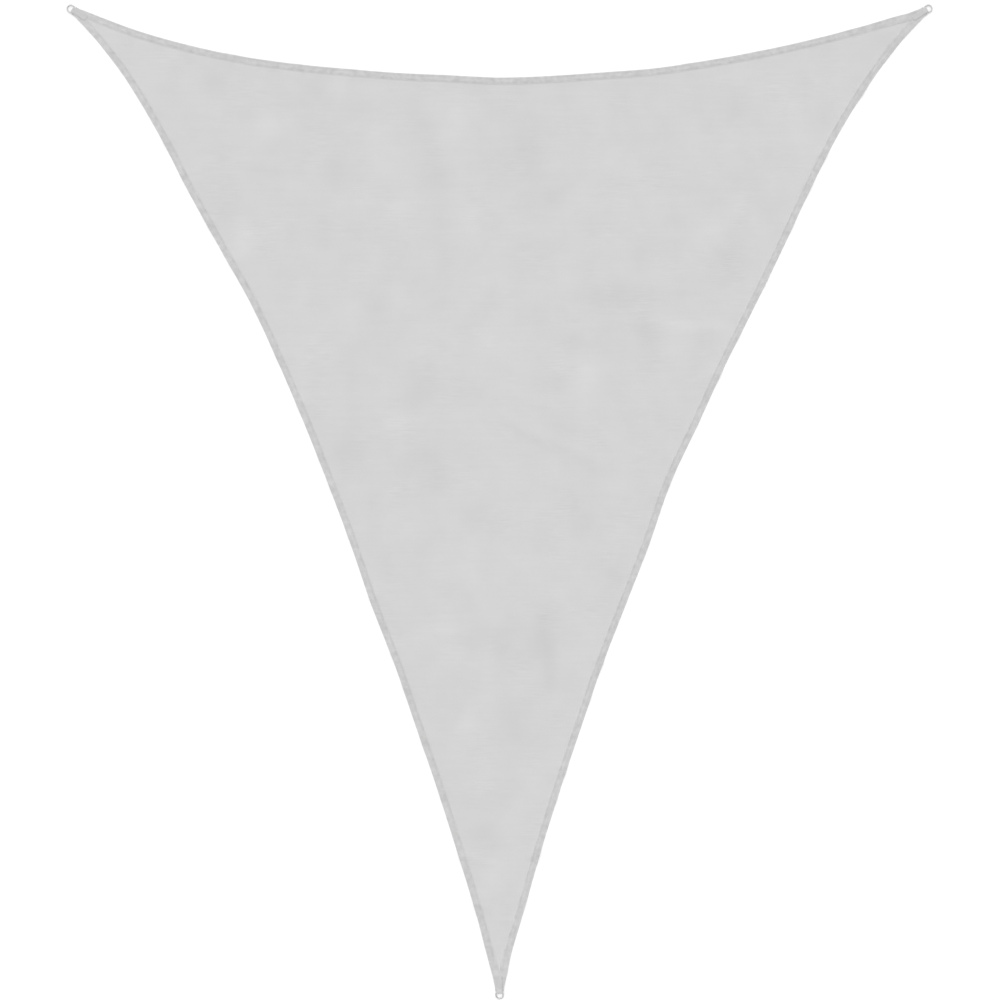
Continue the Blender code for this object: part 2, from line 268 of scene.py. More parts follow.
# %% [markdown]
# ## The knitted cloth's finish
#
# Shade cloth is knitted from flat plastic tape. Pillars of small loops run down it, a few millimetres
# apart, and the tapes zigzag from pillar to pillar, with narrow gaps between. From above, one layer lets
# some of the pale floor through, so a hem of two layers looks darker than the panel, and the crossing of
# two hems darker still. The mesh carries that count of layers at each point, and soft patches of lighter
# and darker cloth, so the finish only has to read them and add the knit. The knit reads object
# coordinates: it is too fine for a mesh, so it is a bump and a faint change of tone.

# %% Pillars of loops, slanting tapes
WALE_PITCH = 0.0042
COURSE_PITCH = 0.0026
PILLAR_SHARPNESS = 3.0
KNIT_DEPTH = 0.0004
KNIT_WOBBLE = 1.6
KNIT_TONE = 0.08
TAPE_SLANT = 1.3
TAPE_HEIGHT = 0.6
LOOP_RELIEF = 0.4
MEAN_GAP = 0.25
PANEL_TONE = 0.5975
HEM_TONE_DROP = 0.043
CROSSING_TONE_DROP = 0.012
PATCH_TONE = 0.020
SHADE_TONE = 0.030
BAND_TONE = 0.026
BAND_SHAPE = (1.2, 24.0, 1.0)
GRAIN_TONE = 0.042
DASH_TONE = 0.045
DASH_SHAPE = (1.0, 11.0, 1.0)
DASH_GATHERING = 9.0
USUAL_DASH = 0.6
LEAST_DASH = 0.2
HEM_MOTTLE_TONE = 0.220
TURN = 2.0 * math.pi


def knitted_cloth():
    finish = Finish("knitted_cloth", roughness=0.88, gloss=0.30)
    place = finish.place()
    wobble = finish.cloud(place, scale=30.0) * KNIT_WOBBLE
    across, along = finish.split(place)
    wales = across * (TURN / WALE_PITCH) + wobble
    courses = along * (TURN / COURSE_PITCH) + wobble
    pillar = wales.wave() ** PILLAR_SHARPNESS
    loops = (courses * 0.5).arch()
    tape = (courses + wales.maths("SINE", wales) * TAPE_SLANT).wave()
    knit = pillar * (loops * LOOP_RELIEF + (1.0 - LOOP_RELIEF)) + (1.0 - pillar) * tape * TAPE_HEIGHT
    gap = (1.0 - pillar) * (1.0 - tape)
    bands = finish.cloud(finish.stretched(place, BAND_SHAPE), scale=2.2, detail=3.0)
    grain = finish.cloud(place, scale=9.0, detail=4.0)
    dashes = finish.cloud(finish.stretched(place, DASH_SHAPE), scale=13.0)
    gathered = finish.cloud(place, scale=5.0) * DASH_GATHERING + USUAL_DASH
    dashes = dashes * gathered.maths("MAXIMUM", gathered, LEAST_DASH)
    mottle = finish.cloud(place, scale=38.0, detail=3.0)
    layers = finish.attribute("layers")
    doubled = layers.maths("MINIMUM", layers, 1.0)
    crossed = layers.maths("MAXIMUM", layers - 1.0, 0.0)
    tone = PANEL_TONE - doubled * HEM_TONE_DROP - crossed * CROSSING_TONE_DROP
    # The shade attribute is painted shade: in the hem's pucker nips, along its stitch rows and along the fine
    # folds.
    tone = tone + finish.attribute("patches") * PATCH_TONE - finish.attribute("shade") * SHADE_TONE
    tone = tone + bands * BAND_TONE + grain * GRAIN_TONE + dashes * DASH_TONE
    tone = tone + doubled * mottle * HEM_MOTTLE_TONE
    tone = tone * (1.0 + (gap - MEAN_GAP) * KNIT_TONE)
    finish.feed("Base Color", finish.shade_of(tone))
    finish.bump(knit, KNIT_DEPTH)
    return finish.material


cloth_finish = knitted_cloth()
print("knit:", WALE_PITCH, "m between pillars,", COURSE_PITCH, "m between courses")

# %% [markdown]
# ## Where the edges run
#
# The three edges sag inward in long hollows, so that a sail pulled tight at its corners has no slack
# border. They are as uneven as hand-fed sewing leaves them. Each edge is one smooth curve through a short
# table of sags, measured from the straight line between two ring centres, and it ends along the narrow
# tongue of cloth at each ring. A chain of Bezier pieces goes through every point of the table without
# a corner, which a polyline of the same few points could not do.

# %% The outline, from the rings and a table of sags
HEAD_SPAN = 3.992
SIDE_SPAN = 5.006
FOOT_DEPTH = math.sqrt(SIDE_SPAN**2 - (HEAD_SPAN / 2) ** 2)
RING_CENTRES = {
    "left": Vector((-HEAD_SPAN / 2, FOOT_DEPTH / 2)),
    "right": Vector((HEAD_SPAN / 2, FOOT_DEPTH / 2)),
    "foot": Vector((0.0, -FOOT_DEPTH / 2)),
}
EDGE_ENDS = {"head": ("left", "right"), "left": ("left", "foot"), "right": ("right", "foot")}
SAIL_CENTRE = sum(RING_CENTRES.values(), Vector((0.0, 0.0))) / len(RING_CENTRES)

# Share along the edge, then each edge's sag in metres. Sides run from the head down to the foot.
SAG_COLUMNS = ("share", "head", "left", "right")
SAG_ROWS = (
    (0.04, 0.048, 0.056, 0.057),
    (0.08, 0.106, 0.104, 0.106),
    (0.14, 0.173, 0.143, 0.151),
    (0.20, 0.223, 0.163, 0.169),
    (0.26, 0.257, 0.192, 0.177),
    (0.32, 0.280, 0.222, 0.190),
    (0.38, 0.299, 0.229, 0.206),
    (0.44, 0.310, 0.227, 0.212),
    (0.50, 0.321, 0.217, 0.220),
    (0.56, 0.313, 0.201, 0.198),
    (0.62, 0.297, 0.177, 0.186),
    (0.68, 0.278, 0.165, 0.174),
    (0.74, 0.243, 0.141, 0.150),
    (0.80, 0.200, 0.117, 0.124),
    (0.86, 0.148, 0.086, 0.092),
    (0.92, 0.086, 0.052, 0.052),
    (0.96, 0.039, 0.021, 0.027),
)
# Distance inward from a ring's centre, and half the tongue's width there.
TONGUE_ROWS = ((0.0170, 0.0197), (0.0360, 0.0208), (0.0600, 0.0262), (0.0930, 0.0333))
STATION_SPACING = 0.009


def inward_axis(corner):
    """The unit vector from a ring's centre into the cloth, halfway between the two edges there."""
    centre = RING_CENTRES[corner]
    others = [point for name, point in RING_CENTRES.items() if name != corner]
    return sum(((point - centre).normalized() for point in others), Vector((0.0, 0.0))).normalized()


def tongue_points(corner, towards):
    """One side of a corner's tongue, from its cut end on, on the side of the edge to another corner."""
    centre = RING_CENTRES[corner]
    inward = inward_axis(corner)
    sideways = Vector((-inward.y, inward.x))
    if sideways.dot(RING_CENTRES[towards] - centre) < 0:
        sideways = -sideways
    return [centre + inward * run + sideways * half_width for run, half_width in TONGUE_ROWS]


def edge_knots(edge):
    """The points that an edge runs through, from one tongue's cut end to the other's."""
    first, last = EDGE_ENDS[edge]
    start = RING_CENTRES[first]
    chord = RING_CENTRES[last] - start
    sag_direction = Vector((-chord.y, chord.x)).normalized()
    if sag_direction.dot(SAIL_CENTRE - start) < 0:
        sag_direction = -sag_direction
    column = SAG_COLUMNS.index(edge)
    middle = [start + chord * row[0] + sag_direction * row[column] for row in SAG_ROWS]
    return tongue_points(first, last) + middle + tongue_points(last, first)[::-1]


def edge_curve(edge):
    """An edge's outline: a smooth Bezier chain through its knots."""
    knots = edge_knots(edge)
    before = [knots[0]] + knots[:-1]
    after = knots[1:] + [knots[-1]]
    tangents = [(b - a).normalized() for a, b in zip(before, after)]
    points = []
    for start, end, leaving, arriving in zip(knots, knots[1:], tangents, tangents[1:]):
        reach = (end - start).length / 3
        steps = max(1, round(3 * reach / STATION_SPACING))
        stretch = interpolate_bezier(start, start + leaving * reach, end - arriving * reach, end, steps + 1)
        points.extend(stretch[:-1])
    points.append(knots[-1])
    return np.array([tuple(point.xy) for point in points])


EDGES = {edge: edge_curve(edge) for edge in EDGE_ENDS}
OUTLINE = np.vstack([EDGES["head"], EDGES["right"], EDGES["left"][::-1]])

# %% [markdown]
# ## How high the cloth lies
#
# Cloth that is laid out never lies quite flat. Four things lift it here. The hem's thread is tighter than
# the cloth, so it draws up **puckers** across the hem. Folding for the packet left long soft **creases**.
# Slack cloth stands in low **swells**. And at each corner a strap runs under the cloth, so the **corner**
# lies on it. Each is a height for any point of the floor, a sum of soft bumps from a short table, so the
# cloth, its stitches and its straps can all ask for the same height. A cloth simulation would move the
# folds away from where this sail has them.

# %% Distances on the floor
CHUNK = 1500


def distance_to_line(points, line):
    """The distance from each point to a line of straight pieces, worked out a chunk of points at a time."""
    starts = line[:-1]
    pieces = line[1:] - starts
    lengths = (pieces**2).sum(axis=1)
    nearest = np.empty(len(points))
    for first in range(0, len(points), CHUNK):
        offsets = points[first : first + CHUNK, None, :] - starts[None, :, :]
        shares = np.clip((offsets * pieces).sum(axis=2) / lengths, 0.0, 1.0)
        offsets -= shares[:, :, None] * pieces
        nearest[first : first + CHUNK] = (offsets**2).sum(axis=2).min(axis=1)
    return np.sqrt(nearest)


def fade(value, start, end):
    """A smooth step from 1 before start to 0 past end."""
    share = np.clip((value - start) / (end - start), 0.0, 1.0)
    return 1.0 - share * share * (3.0 - 2.0 * share)


def bump_at(value, half_width):
    """A soft bump, 1 at value 0 and near 0 past twice the half width."""
    return np.exp(-((value / half_width) ** 2))


def run_along(points, edge):
    """How far along an edge's chord each point lies, from its first ring."""
    first, last = EDGE_ENDS[edge]
    chord = np.array(RING_CENTRES[last] - RING_CENTRES[first])
    return (points - np.array(RING_CENTRES[first])).dot(chord / np.linalg.norm(chord))


def ripple(values, period, row=0.0):
    """Smooth unevenness from about -1 to 1 along a line, the same each time. Another row is another line."""
    return np.array([noise.noise(Vector((value / period, row, 0.5))) for value in values])


# %% Puckers across the hem
HEM_WIDTH = 0.0315
PUCKER_HALF_LENGTH = 0.040
PUCKER_FADE = 0.070
NIP_HALF_LENGTH = 0.011
NIP_FADE = (0.0252, 0.0615)
FINE_PUCKER_HEIGHT = 0.0007
FINE_PUCKER_PERIOD = 0.034
FINE_PUCKER_LEAN = 0.3
FINE_PUCKER_FADE = (0.020, 0.060)
FINE_PUCKER_REACH = 0.0715
USUAL_FINE_PUCKER = 0.6
SPANS = {"head": HEAD_SPAN, "left": SIDE_SPAN, "right": SIDE_SPAN}

# Share along the edge, height, and how far the sharp nip at its middle leans as it crosses the hem.
PUCKER_ROWS = {
    "head": (
        (0.064, 0.0010, 0.2), (0.136, 0.0022, 0.3), (0.190, 0.0045, -0.3), (0.235, 0.0024, 0.2),
        (0.268, 0.0034, 0.5), (0.329, 0.0020, 0.0), (0.438, 0.0016, 0.3), (0.475, 0.0022, -0.4),
        (0.517, 0.0016, 0.0), (0.605, 0.0018, 0.4), (0.721, 0.0026, -0.2), (0.801, 0.0022, 0.3),
        (0.865, 0.0018, 0.0), (0.910, 0.0032, 0.5),
    ),
    "left": (
        (0.149, 0.0038, 0.3), (0.187, 0.0022, -0.2), (0.239, 0.0026, 0.3), (0.278, 0.0024, 0.0),
        (0.328, 0.0016, 0.4), (0.375, 0.0016, -0.3), (0.424, 0.0028, 0.2), (0.477, 0.0022, 0.3),
        (0.505, 0.0022, -0.2), (0.554, 0.0022, 0.0), (0.615, 0.0026, 0.4), (0.670, 0.0026, -0.3),
        (0.704, 0.0022, 0.2), (0.759, 0.0030, 0.3), (0.809, 0.0024, 0.0), (0.870, 0.0034, 0.4),
        (0.916, 0.0048, 0.9),
    ),
    "right": (
        (0.098, 0.0044, -0.3), (0.167, 0.0038, 0.3), (0.199, 0.0034, 0.0), (0.238, 0.0022, 0.2),
        (0.296, 0.0026, -0.2), (0.352, 0.0026, 0.3), (0.392, 0.0034, 0.4), (0.440, 0.0014, 0.0),
        (0.502, 0.0018, -0.3), (0.567, 0.0014, 0.2), (0.681, 0.0038, 0.3), (0.715, 0.0020, 0.0),
        (0.786, 0.0034, -0.3), (0.815, 0.0020, 0.2), (0.868, 0.0044, 0.9), (0.912, 0.0024, 0.3),
    ),
}


def pucker_lift(points, edge, distance):
    """How far the puckers of one hem hold the cloth off the floor."""
    run = run_along(points, edge)
    lift = np.zeros(len(points))
    for share, height, _ in PUCKER_ROWS[edge]:
        lift += height * bump_at(run - share * SPANS[edge], PUCKER_HALF_LENGTH)
    lift *= fade(distance, HEM_WIDTH, HEM_WIDTH + PUCKER_FADE)
    near = np.flatnonzero(distance < FINE_PUCKER_REACH)
    slanting = run[near] + distance[near] * FINE_PUCKER_LEAN
    small = ripple(slanting, FINE_PUCKER_PERIOD, SPANS[edge] + len(edge)) + USUAL_FINE_PUCKER
    lift[near] += FINE_PUCKER_HEIGHT * small * fade(distance[near], *FINE_PUCKER_FADE)
    return lift


def nips(points, edge, distance):
    """Where the sharp fold at the middle of each pucker runs, from 0 to 1, as a share of its height."""
    run = run_along(points, edge)
    tallest = max(height for _, height, _ in PUCKER_ROWS[edge])
    found = np.zeros(len(points))
    for share, height, lean in PUCKER_ROWS[edge]:
        middle = share * SPANS[edge] + lean * (distance - HEM_WIDTH / 2)
        found += height / tallest * bump_at(run - middle, NIP_HALF_LENGTH)
    return found * fade(distance, *NIP_FADE)


print("puckers:", {edge: len(rows) for edge, rows in PUCKER_ROWS.items()})

# %% Creases, swells and the corners' straps
# Both ends' x and y, height and half width, in metres.
CREASE_ROWS = (
    (-0.06, 0.43, 0.44, 0.19, 0.0036, 0.045),
    (0.04, 0.50, 0.34, 0.36, 0.0026, 0.045),
    (-0.52, 0.38, -0.10, 0.30, 0.0026, 0.045),
    (0.66, 0.82, 1.02, 0.80, 0.0030, 0.045),
)
# Finer folds that ride on the creases and run between them.
FOLD_ROWS = (
    (0.02, 0.37, 0.17, 0.29, 0.0022, 0.018),
    (0.16, 0.30, 0.42, 0.20, 0.0018, 0.024),
    (0.08, 0.49, 0.22, 0.43, 0.0022, 0.018),
    (-0.60, 0.40, -0.34, 0.35, 0.0018, 0.018),
    (0.70, 0.815, 0.98, 0.805, 0.0020, 0.018),
    (-1.30, 1.60, -1.02, 1.54, 0.0018, 0.018),
    (-0.30, -0.62, -0.02, -0.66, 0.0016, 0.018),
    (-0.14, -1.66, 0.02, -1.72, 0.0014, 0.018),
)
SWELL_HEIGHT = 0.0055
SWELL_PERIOD = 0.42
SWELL_FLOOR = 0.10
SWELL_EDGE_FADE = 0.16
WRINKLE_HEIGHT = 0.0011
WRINKLE_PERIOD = 0.11
WRINKLE_STRETCH = 0.8
WRINKLE_FLOOR = -0.2
WRINKLE_FADE = (-0.15, 0.25)
STRAP_THICKNESS = 0.002
GAP = 0.0003
CORNER_UNDERSIDE = STRAP_THICKNESS + GAP
CORNER_LIFT_END = 0.125
CORNER_LIFT_FADE = 0.210
PUCKER_START = 0.180
PUCKER_FULL = 0.300


def crease_lift(points, rows):
    """How far creases hold the cloth off the floor."""
    lift = np.zeros(len(points))
    for start_x, start_y, end_x, end_y, height, half_width in rows:
        line = np.array([(start_x, start_y), (end_x, end_y)])
        lift += height * bump_at(distance_to_line(points, line), half_width)
    return lift


def swell_lift(points):
    """How far the low swells hold the cloth off the floor, and the fine wrinkles on them."""
    slow = np.array([noise.noise(Vector((x, y, 0.0)) / SWELL_PERIOD) for x, y in points])
    quick = np.array([noise.noise(Vector((x, y * WRINKLE_STRETCH, 3.0)) / WRINKLE_PERIOD) for x, y in points])
    swells = SWELL_HEIGHT * np.maximum(slow - SWELL_FLOOR, 0.0)
    return swells + WRINKLE_HEIGHT * np.maximum(quick, WRINKLE_FLOOR) * fade(-slow, *WRINKLE_FADE)


def distance_to_rings(points):
    """The distance from each point to the nearest ring's centre."""
    away = [np.linalg.norm(points - np.array(centre), axis=1) for centre in RING_CENTRES.values()]
    return np.min(away, axis=0)


def underside(points, distances):
    """The height of the cloth's underside."""
    from_edge = np.min(list(distances.values()), axis=0)
    from_ring = distance_to_rings(points)
    corner_lift = CORNER_UNDERSIDE * fade(from_ring, CORNER_LIFT_END, CORNER_LIFT_FADE)
    puckers = np.max([pucker_lift(points, edge, distances[edge]) for edge in EDGES], axis=0)
    loose = swell_lift(points) * (1.0 - fade(from_edge, HEM_WIDTH, SWELL_EDGE_FADE))
    creases = crease_lift(points, CREASE_ROWS) + crease_lift(points, FOLD_ROWS)
    free = 1.0 - fade(from_ring, PUCKER_START, PUCKER_FULL)
    return np.maximum(corner_lift, (puckers + loose + creases) * free)


# %% [markdown]
# ## The hem
#
# A hem of one turn is two layers of the same cloth. Two rows of stitches hold it: one close to the fold,
# one close to the raw edge. Each row presses the layers and pulls a groove, more in some places than in
# others, and painted shade darkens the cloth along it. The cloth stands a little proud between the rows,
# and the raw edge wanders by a fraction of a millimetre. Nearly all of this depends only on the distance
# from the fold, so it is one profile for all three edges. Where two hems cross, at the corners, the layers
# add up.

# %% One profile for every hem
CLOTH_THICKNESS = 0.0012
PRESSED_THICKNESS = 0.0008
HEM_WIDTHS = {"head": 0.0304, "left": 0.0315, "right": 0.0330}
RAW_EDGE_WANDER = 0.0008
RAW_EDGE_PERIOD = 0.060
RAW_EDGE_STEP = 0.0006
CORNER_WIDENING = {"left": -0.0015, "right": 0.0043, "foot": 0.0036}
WIDENING_RUN = (0.14, 0.34)
STITCH_ROWS = (0.009, 0.026)
ROW_SHADES = (0.35, 0.80)
ROW_SHADE_HALF_WIDTH = 0.0035
ROW_SHADE_PERIOD = 0.045
FOLD_SHADE = 150.0
GROOVE_DEPTH = 0.00045
GROOVE_HALF_WIDTH = 0.0016
BULGE = 0.0004
BULGE_HALF_WIDTH = 0.006
NIP_HEIGHT = 0.0012


def raw_edge_at(run, edge):
    """How wide a hem is at a place along it: each has its own width, and changes towards the corners."""
    first, last = EDGE_ENDS[edge]
    wider = CORNER_WIDENING[first] * fade(run, *WIDENING_RUN)
    wider = wider + CORNER_WIDENING[last] * fade(SPANS[edge] - run, *WIDENING_RUN)
    return HEM_WIDTHS[edge] + wider + RAW_EDGE_WANDER * ripple(run, RAW_EDGE_PERIOD, 20.0 + len(edge))


def layers_over(points, distances):
    """How many layers lie on the first one: 0 on the panel, 1 on a hem, 2 where hems cross."""
    over = np.zeros(len(points))
    margin = max(CORNER_WIDENING.values()) + 2 * RAW_EDGE_WANDER
    for edge, distance in distances.items():
        near = np.flatnonzero(distance < HEM_WIDTHS[edge] + margin)
        raw_edge = raw_edge_at(run_along(points[near], edge), edge)
        over[near] += fade(distance[near], raw_edge, raw_edge + RAW_EDGE_STEP)
    return over


def hem_relief(distances):
    """How far the hem stands proud between its rows of stitches, less the groove at each row."""
    relief = 0.0
    outer_row, inner_row = STITCH_ROWS
    for distance in distances.values():
        relief = relief + BULGE * bump_at(distance - (outer_row + inner_row) / 2, BULGE_HALF_WIDTH)
        for row in STITCH_ROWS:
            relief = relief - GROOVE_DEPTH * bump_at(distance - row, GROOVE_HALF_WIDTH)
    return relief


def row_shade(points, distances):
    """How much painted shade lies along the rows of stitches, more where the cloth is drawn in."""
    shade = np.zeros(len(points))
    for edge, distance in distances.items():
        near = np.flatnonzero(distance < HEM_WIDTH)
        drawn_in = 1.0 + ripple(run_along(points[near], edge), ROW_SHADE_PERIOD, 30.0 + len(edge))
        for row, strength in zip(STITCH_ROWS, ROW_SHADES):
            shade[near] += strength * drawn_in * bump_at(distance[near] - row, ROW_SHADE_HALF_WIDTH)
    return shade


def cloth_surface(points):
    """The cloth's underside and top at each point, and what the finish reads there: layers and painted shade.
    """
    distances = {edge: distance_to_line(points, line) for edge, line in EDGES.items()}
    low = underside(points, distances)
    over = layers_over(points, distances)
    pinched = np.max([nips(points, edge, distances[edge]) for edge in EDGES], axis=0)
    away = 1.0 - fade(distance_to_rings(points), CORNER_LIFT_END, CORNER_LIFT_FADE)
    fine = (hem_relief(distances) * np.minimum(over, 1.0) + NIP_HEIGHT * pinched) * away
    top = low + CLOTH_THICKNESS + PRESSED_THICKNESS * over + fine
    # The last value is painted shade: along the fine folds, in the pucker nips and along the stitch rows.
    wear_and_painted_shade = crease_lift(points, FOLD_ROWS) * FOLD_SHADE
    return low, top, over, (pinched + row_shade(points, distances)) * away + wear_and_painted_shade


print("hems:", HEM_WIDTHS, "m wide, stitched at", STITCH_ROWS)

# %% [markdown]
# ## The cut piece
#
# The cloth starts as a flat pattern on the floor. Lines of points follow each edge at the depths where the
# hem's profile turns, and a staggered grid fills the panel. Blender's own triangulation joins them: it
# keeps every hem line as an edge of the mesh, which a grid cut to the outline would not. Then the flat
# pattern is extruded, each layer is set to its height, and the fold at the rim is rounded with a bevel.

# %% Lines along the hem, points over the panel
# Depth from the fold, how many stations to the next point, whether the line runs on over another hem, and
# how much of the raw edge's wandering it follows.
HEM_LINE_ROWS = (
    (0.0013, 1, False, 0.0),
    (0.0045, 2, False, 0.0),
    (0.0073, 1, False, 0.0),
    (0.0090, 1, True, 0.0),
    (0.0107, 1, False, 0.0),
    (0.0150, 2, False, 0.0),
    (0.0200, 2, False, 0.0),
    (0.0243, 1, False, 0.0),
    (0.0260, 1, True, 0.0),
    (0.0277, 1, False, 0.0),
    (0.0294, 2, False, 0.4),
    (HEM_WIDTH, 1, True, 1.0),
    (HEM_WIDTH + RAW_EDGE_STEP, 1, True, 1.0),
    (0.0390, 1, False, 0.7),
    (0.0500, 2, False, 0.2),
    (0.0660, 3, False, 0.0),
)
PANEL_SPACING = 0.021
LEAST_ROOM = 0.0020
INSIDE_ONLY = 1
WELD_DISTANCE = 1e-5


def offset_line(edge, depths):
    """An edge's outline moved inward by a depth, or by a depth for each of its points."""
    line = EDGES[edge]
    tangents = np.gradient(line, axis=0)
    normals = np.stack([-tangents[:, 1], tangents[:, 0]], axis=1)
    normals /= np.linalg.norm(normals, axis=1)[:, None]
    middle = len(line) // 2
    if normals[middle].dot(np.array(SAIL_CENTRE) - line[middle]) < 0:
        normals = -normals
    return line + normals * np.broadcast_to(depths, len(line))[:, None]


def room_at(points, edge):
    """How far each point is from the other two edges and from the three cut ends."""
    others = [distance_to_line(points, EDGES[name]) for name in EDGES if name != edge]
    ends = []
    for corner, centre in RING_CENTRES.items():
        inward = np.array(inward_axis(corner))
        ends.append((points - np.array(centre)).dot(inward) - TONGUE_ROWS[0][0])
    return np.min(others, axis=0), np.min(ends, axis=0)


def hem_line(edge, depth, every, crosses, follows):
    """One line of points along a hem, in the stretches where there is room for it."""
    wander = raw_edge_at(run_along(EDGES[edge], edge), edge) - HEM_WIDTH
    line = offset_line(edge, depth + wander * follows)[::every]
    from_others, from_ends = room_at(line, edge)
    least = LEAST_ROOM if crosses else depth + LEAST_ROOM
    kept = (from_others > least) & (from_ends > LEAST_ROOM)
    stretches = np.split(line, np.flatnonzero(~kept))
    return [stretch[1:] if i else stretch for i, stretch in enumerate(stretches) if len(stretch) > 2]


def inside_outline(points):
    """Whether each point lies inside the outline, by counting the crossings of a ray along +X."""
    inside = np.zeros(len(points), dtype=bool)
    for (x0, y0), (x1, y1) in zip(OUTLINE, np.roll(OUTLINE, -1, axis=0)):
        straddles = (y0 > points[:, 1]) != (y1 > points[:, 1])
        rise = np.where(straddles, (points[:, 1] - y0) / ((y1 - y0) or 1.0), 0.0)
        inside ^= straddles & (points[:, 0] < x0 + rise * (x1 - x0))
    return inside


def panel_points():
    """Staggered points over the single layer, clear of the lines along the hem."""
    rows = np.arange(-FOOT_DEPTH / 2, FOOT_DEPTH / 2, PANEL_SPACING * math.sqrt(3) / 2)
    columns = np.arange(-HEAD_SPAN / 2, HEAD_SPAN / 2, PANEL_SPACING)
    points = []
    for number, y in enumerate(rows):
        shift = PANEL_SPACING / 2 * (number % 2)
        points.extend((x + shift, y) for x in columns)
    points = np.array(points)
    points = points[inside_outline(points)]
    last_line = HEM_LINE_ROWS[-1][0]
    clear = np.min([distance_to_line(points, line) for line in EDGES.values()], axis=0)
    return points[clear > last_line + PANEL_SPACING / 2]


def flat_pattern():
    """The triangulated pattern, flat on the floor, as a bmesh."""
    points = [Vector(point) for point in OUTLINE]
    lines = [(i, (i + 1) % len(points)) for i in range(len(points))]
    for row in HEM_LINE_ROWS:
        for edge in EDGES:
            for stretch in hem_line(edge, *row):
                first = len(points)
                points.extend(Vector(point) for point in stretch)
                lines.extend((i, i + 1) for i in range(first, len(points) - 1))
    points.extend(Vector(point) for point in panel_points())
    found = delaunay_2d_cdt(points, lines, [], INSIDE_ONLY, WELD_DISTANCE)
    pattern = bmesh.new()
    corners = [pattern.verts.new((point.x, point.y, 0.0)) for point in found[0]]
    for face in found[2]:
        pattern.faces.new([corners[index] for index in face])
    loose = [corner for corner in pattern.verts if not corner.link_faces]
    bmesh.ops.delete(pattern, geom=loose, context="VERTS")
    return pattern


cut = flat_pattern()
print("flat pattern:", len(cut.verts), "points,", len(cut.faces), "triangles")

# %% [markdown]
# ## Lighter and darker patches
#
# Knitted cloth is never one even grey: faint lighter and darker clouds lie over it, a hand or two across.
# The clearest ones have a place and a size in a short table. They are too soft to need a picture, so each
# point of the mesh carries one number for them, and the finish reads it.

# %% Soft patches
# Middle x and y, half width and half height in metres, and tone: below 0 darker, above 0 lighter.
PATCH_ROWS = (
    (-1.32, 1.95, 0.08, 0.06, -0.6), (-0.91, 1.86, 0.08, 0.10, -1.0), (-0.74, 1.56, 0.09, 0.09, -1.0),
    (-0.36, 1.76, 0.06, 0.14, -0.6), (-0.32, 1.51, 0.08, 0.07, -1.0), (-0.27, 1.20, 0.05, 0.17, -0.9),
    (0.12, 1.65, 0.11, 0.14, -1.3), (0.25, 1.41, 0.06, 0.06, -0.9), (1.10, 1.85, 0.06, 0.08, -0.9),
    (-1.30, 1.37, 0.06, 0.12, -1.0), (1.07, 1.12, 0.09, 0.11, -1.2), (1.80, 2.13, 0.07, 0.05, -1.0),
    (1.52, 1.80, 0.06, 0.08, -0.9), (0.66, 1.16, 0.05, 0.08, -0.7), (-0.83, 1.22, 0.05, 0.14, -0.5),
    (0.57, 0.96, 0.15, 0.05, -1.4), (0.67, 0.81, 0.06, 0.08, -1.0), (-0.56, 0.89, 0.06, 0.06, -0.7),
    (-0.62, 0.71, 0.07, 0.06, -0.8), (0.34, 0.74, 0.07, 0.05, -0.7), (0.27, 0.55, 0.05, 0.05, -1.1),
    (-0.35, 0.54, 0.09, 0.09, -1.2), (-0.34, 0.19, 0.09, 0.08, -1.4), (-0.27, 0.06, 0.06, 0.06, -0.9),
    (-0.71, 0.22, 0.08, 0.12, -1.3), (-0.11, -0.09, 0.06, 0.06, -0.9), (0.36, -0.06, 0.07, 0.08, -0.6),
    (-0.46, -0.26, 0.10, 0.08, -0.6), (0.56, -0.32, 0.06, 0.11, -0.9), (-0.04, -0.61, 0.13, 0.05, -1.3),
    (0.00, -0.70, 0.05, 0.07, -0.8), (0.20, -0.61, 0.07, 0.11, -1.7), (0.23, -0.77, 0.035, 0.13, -1.3),
    (0.07, -1.04, 0.07, 0.12, -1.2), (-0.42, -0.89, 0.06, 0.12, -0.6), (-0.08, -1.56, 0.09, 0.06, -1.3),
    (-1.08, 1.75, 0.10, 0.09, 1.0), (-0.20, 1.81, 0.09, 0.07, 1.2), (-0.53, 1.59, 0.09, 0.10, 0.9),
    (-0.45, 1.37, 0.11, 0.06, 0.8), (-0.11, 1.28, 0.05, 0.06, 1.1), (0.48, 1.57, 0.12, 0.06, 0.7),
    (1.38, 1.76, 0.06, 0.11, 1.0), (-1.19, 1.19, 0.06, 0.11, 1.2), (0.97, 1.25, 0.08, 0.07, 1.0),
    (0.86, 0.81, 0.12, 0.03, 1.8), (0.40, 0.60, 0.06, 0.09, 1.5), (0.05, 0.64, 0.11, 0.14, 0.6),
    (-0.47, 0.36, 0.08, 0.04, 1.1), (-0.91, 0.78, 0.08, 0.12, 0.6), (-0.11, -0.30, 0.16, 0.12, 0.5),
    (-0.25, -0.61, 0.08, 0.06, 0.8), (-0.15, -1.03, 0.05, 0.04, 1.2), (-0.04, -1.73, 0.09, 0.09, 0.6),
)
CHANCE_PERIOD = 0.16
CHANCE_STRETCH = 1.3
CHANCE_TONE = 0.6


def patches(points):
    """The sum of the patches at each point, with a little chance unevenness."""
    chance = [noise.noise(Vector((x * CHANCE_STRETCH, y, 7.0)) / CHANCE_PERIOD) for x, y in points]
    tone = np.array(chance) * CHANCE_TONE
    for x, y, half_width, half_height, strength in PATCH_ROWS:
        away = (points - (x, y)) / (half_width, half_height)
        tone += strength * bump_at(np.linalg.norm(away, axis=1), 1.0)
    return tone


print("patches:", len(PATCH_ROWS))

# %% From the flat pattern to the sail
RIM_BEVEL = 0.0008
RIM_STEPS = 2
UPRIGHT = 0.05


